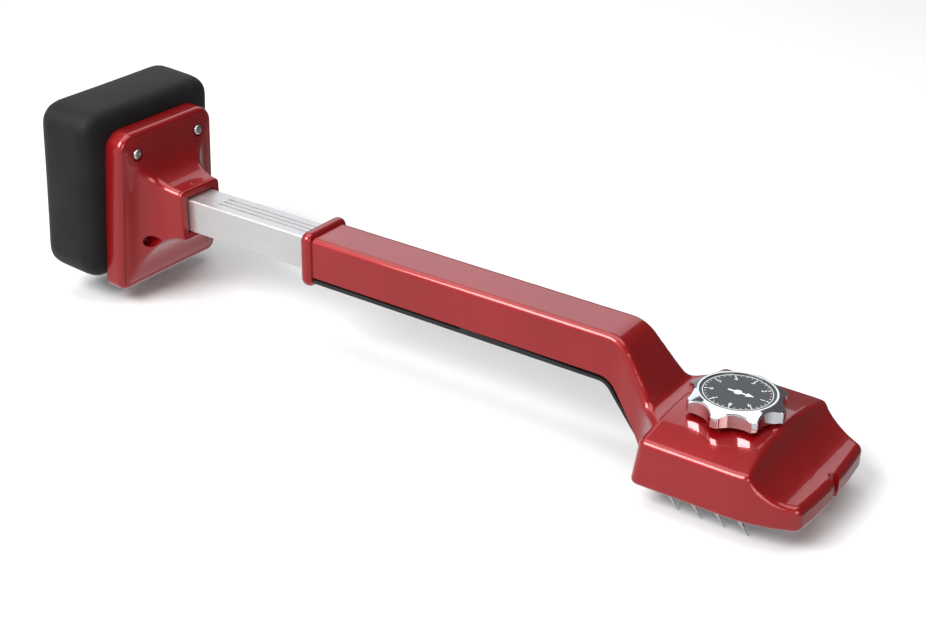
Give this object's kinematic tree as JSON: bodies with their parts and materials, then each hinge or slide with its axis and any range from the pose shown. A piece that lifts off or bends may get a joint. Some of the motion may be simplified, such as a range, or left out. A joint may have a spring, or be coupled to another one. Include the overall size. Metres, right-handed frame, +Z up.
{
  "type": "carpet knee kicker",
  "caption": "Hand tool for stretching carpet: knee pad on a telescoping square tube, cranked red handle and a pinned head with a depth dial.",
  "frame": {"origin": "bottom centre of the bounding box at rest, below the middle of the handle, on the floor that the pins' points touch", "axes": "+X along the tube from the knee pad to the head's toe, +Z up, +Y to the left of a user facing +X"},
  "size_m": [0.5568, 0.119, 0.1391],
  "materials": {
    "red_paint": "candy red metallic enamel under gloss lacquer",
    "foam": "matte moulded foam rubber with a fine skin",
    "aluminium": "satin, brushed along its length",
    "chrome": "polished",
    "black_label": "semi-matte black with white print",
    "steel": "bright plated",
    "plate_steel": "zinc plated",
    "dark_steel": "black oxide, semi-gloss",
    "brass": "turned",
    "black_nylon": "moulded"
  },
  "bodies": {
    "body": {"body_casting": "red_paint", "face_plate": "plate_steel", "face_plate_screws": "steel", "nap_grips": "plate_steel", "guide_posts": "steel", "lever_pivot_studs": "steel", "lever_spring": "steel", "screw_bush": "brass", "detent_ball": "steel", "detent_spring": "steel"},
    "bumper": {"bumper_pad": "foam", "pad_backing_plate": "steel", "bumper_flange": "red_paint", "flange_screws": "steel", "socket_set_screws": "dark_steel", "inner_tube": "aluminium", "tube_end_plug": "black_nylon", "stop_rivets": "aluminium"},
    "release_lever_body": {"release_lever": "dark_steel", "lock_tooth": "steel"},
    "dial": {"dial_knob": "chrome", "dial_label": "black_label", "adjusting_screw": "steel", "retaining_clip": "dark_steel", "dial_grub_screw": "dark_steel"},
    "pin_carrier": {"pin_block": "plate_steel", "main_pins": "steel", "lift_nut": "brass"}
  },
  "joints": [
    {"name": "tube_slide", "type": "slide", "parent": "body", "child": "bumper", "axis": [1, 0, 0], "range_m": [0, 0.096]},
    {"name": "lever_squeeze", "type": "hinge", "parent": "body", "child": "release_lever_body", "pos_m": [0.04725, 0, 0.05739], "axis": [0, -1, 0], "range_deg": [0, 1.2], "stiffness_Nm_per_rad": 20, "springref_deg": -3.44, "deforming": ["lever_spring"]},
    {"name": "dial_turn", "type": "hinge", "parent": "body", "child": "dial", "pos_m": [0.21515, 0, 0.06099], "axis": [0, 0, 1], "range_deg": [0, 325.9]},
    {"name": "pin_depth", "type": "slide", "parent": "body", "child": "pin_carrier", "axis": [0, 0, 1], "range_m": [0, 0.0137]}
  ],
  "couplings": [
    {"joint": "pin_depth", "follows": "dial_turn", "m_per_rad": 0.0023873}
  ]
}
